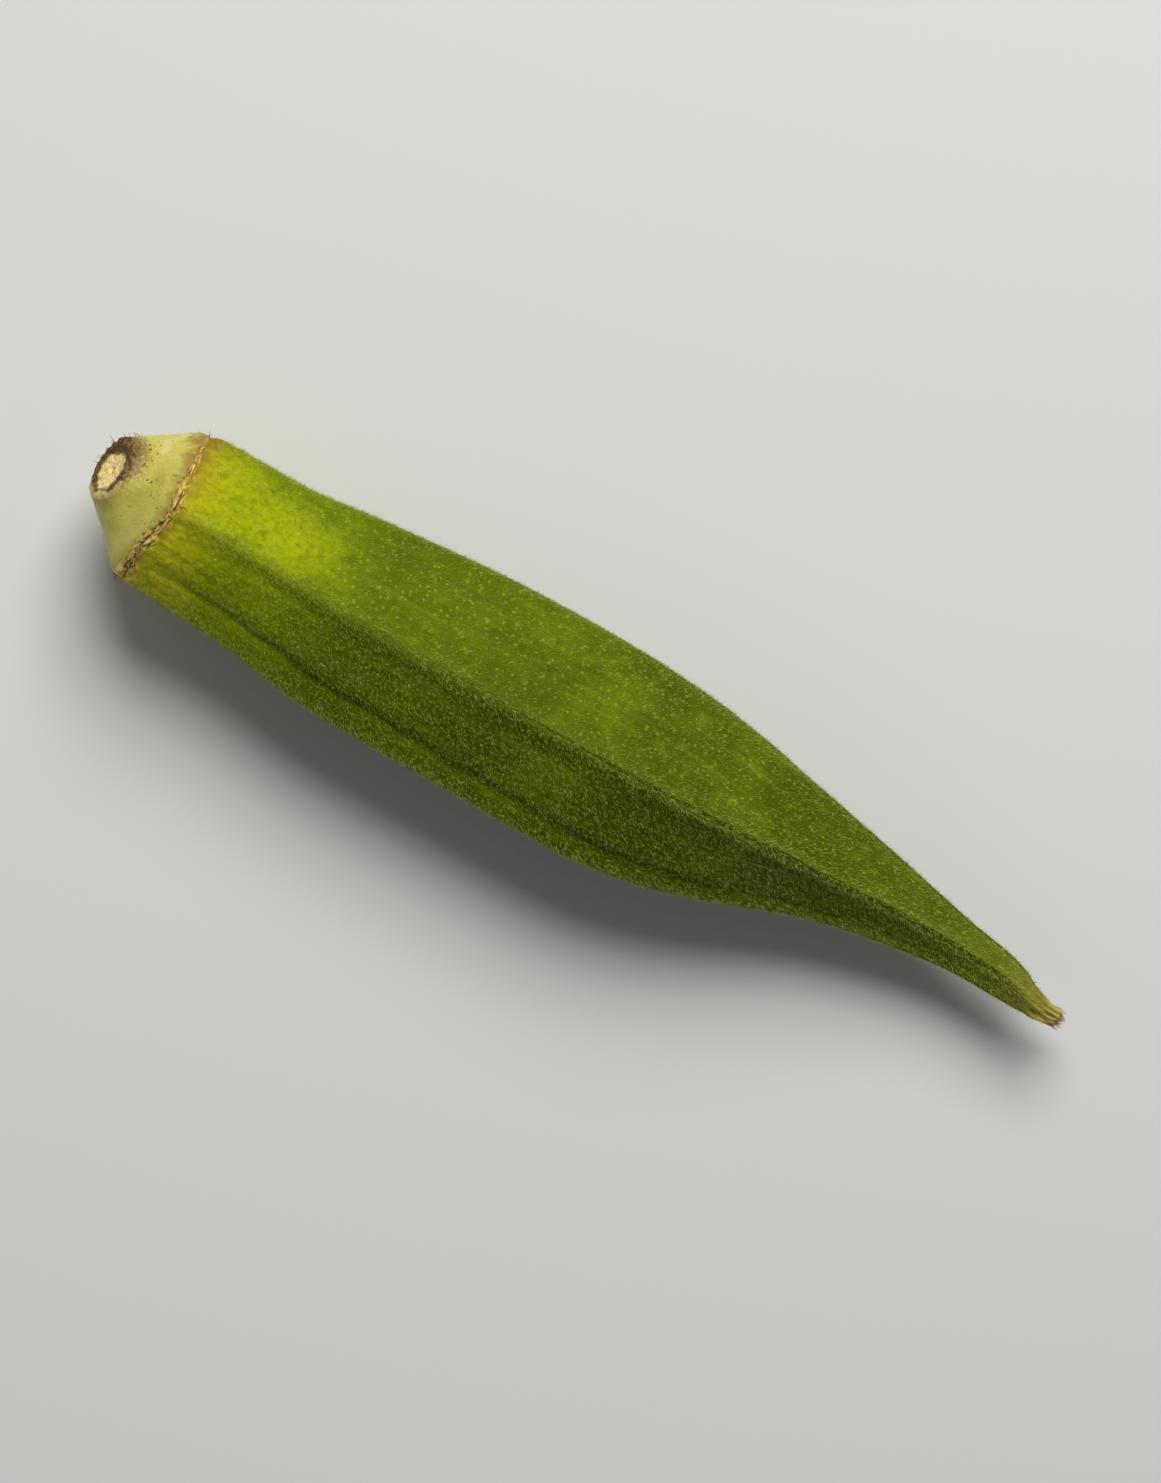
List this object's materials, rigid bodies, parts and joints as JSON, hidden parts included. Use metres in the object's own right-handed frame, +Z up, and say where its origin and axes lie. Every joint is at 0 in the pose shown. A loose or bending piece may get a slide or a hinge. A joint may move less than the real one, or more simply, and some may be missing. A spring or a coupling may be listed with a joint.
{
  "type": "okra pod",
  "caption": "Five-ribbed tapering okra pod lying on its side, with a pale conical cap, corky ring scar, slanted stem cut and a slender bent beak.",
  "frame": {"origin": "under the middle of the pod's box, on the surface that it lies on", "axes": "+X along the pod from the cut stem to the beak, +Z up, so the pod lies on one of its five faces"},
  "size_m": [0.1001, 0.0195, 0.0184],
  "materials": {
    "pod_skin": "satin"
  },
  "bodies": {
    "root": {"okra_pod": "pod_skin"}
  },
  "joints": []
}
